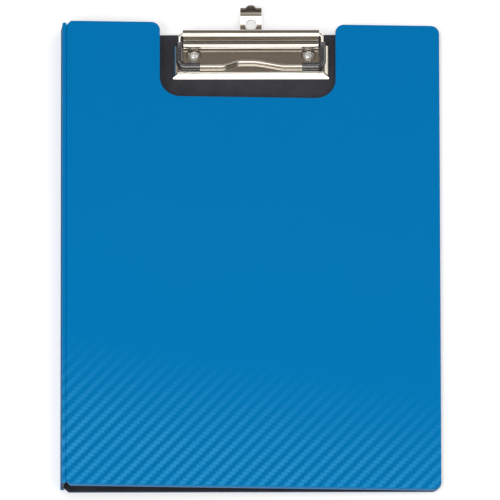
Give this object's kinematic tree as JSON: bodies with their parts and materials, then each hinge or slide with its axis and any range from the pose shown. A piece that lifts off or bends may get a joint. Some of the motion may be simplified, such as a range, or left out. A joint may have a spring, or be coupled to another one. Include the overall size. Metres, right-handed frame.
{
  "type": "clipboard folder",
  "caption": "A4 clipboard folder: a board with a sprung lever clip and slide-out hanging eyelet, and a cover with a notch that folds over it on a flexible spine.",
  "frame": {"origin": "outer face of the back board, on the clip's centre line, half way up the board", "axes": "+X from the spine to the free edge, +Y from the foot to the clip, +Z from the back to the cover"},
  "size_m": [0.2419, 0.3325, 0.0139],
  "materials": {
    "black_board": "fine matt grain",
    "blue_skin": "satin, with a faded twill pattern near the foot of the cover",
    "fold_web": "satin, drawn thin at the fold",
    "clear_film": "clear, glossy",
    "nickel_sheet": "bright nickel plate",
    "nickel_rivet": "bright nickel plate",
    "nickel_wire": "bright nickel plate",
    "spring_steel": "drawn wire",
    "black_rubber": "satin rubber tube"
  },
  "bodies": {
    "back": {"back_panel": "black_board", "back_skin": "blue_skin", "clip_base_plate": "nickel_sheet", "clip_rivets": "nickel_rivet", "hinge_pin": "nickel_wire", "torsion_springs": "spring_steel"},
    "spine": {"spine_panel": "black_board", "spine_skin": "blue_skin", "rear_crease": "fold_web", "front_crease": "fold_web"},
    "front": {"front_panel": "black_board", "front_skin": "blue_skin", "inner_pocket": "clear_film"},
    "clamp": {"press_lever": "nickel_sheet", "wire_bail": "nickel_wire", "corner_sleeve_left": "black_rubber", "corner_sleeve_right": "black_rubber"},
    "hanger": {"hanging_eyelet": "nickel_sheet"}
  },
  "joints": [
    {"name": "spine_fold", "type": "hinge", "parent": "back", "child": "spine", "pos_m": [-0.1206, 0, 0.0009], "axis": [0, -1, 0], "range_deg": [0, 180]},
    {"name": "cover_fold", "type": "hinge", "parent": "spine", "child": "front", "pos_m": [-0.11941, 0, 0.01304], "axis": [0, -1, 0], "range_deg": [0, 180]},
    {"name": "clamp_press", "type": "hinge", "parent": "back", "child": "clamp", "pos_m": [0, 0.146, 0.0069], "axis": [-1, 0, 0], "range_deg": [0, 33], "stiffness_Nm_per_rad": 0.03, "springref_deg": -34.38, "deforming": ["torsion_springs"]},
    {"name": "eyelet_slide", "type": "slide", "parent": "back", "child": "hanger", "axis": [0, 1, 0], "range_m": [-0.01, 0]}
  ]
}
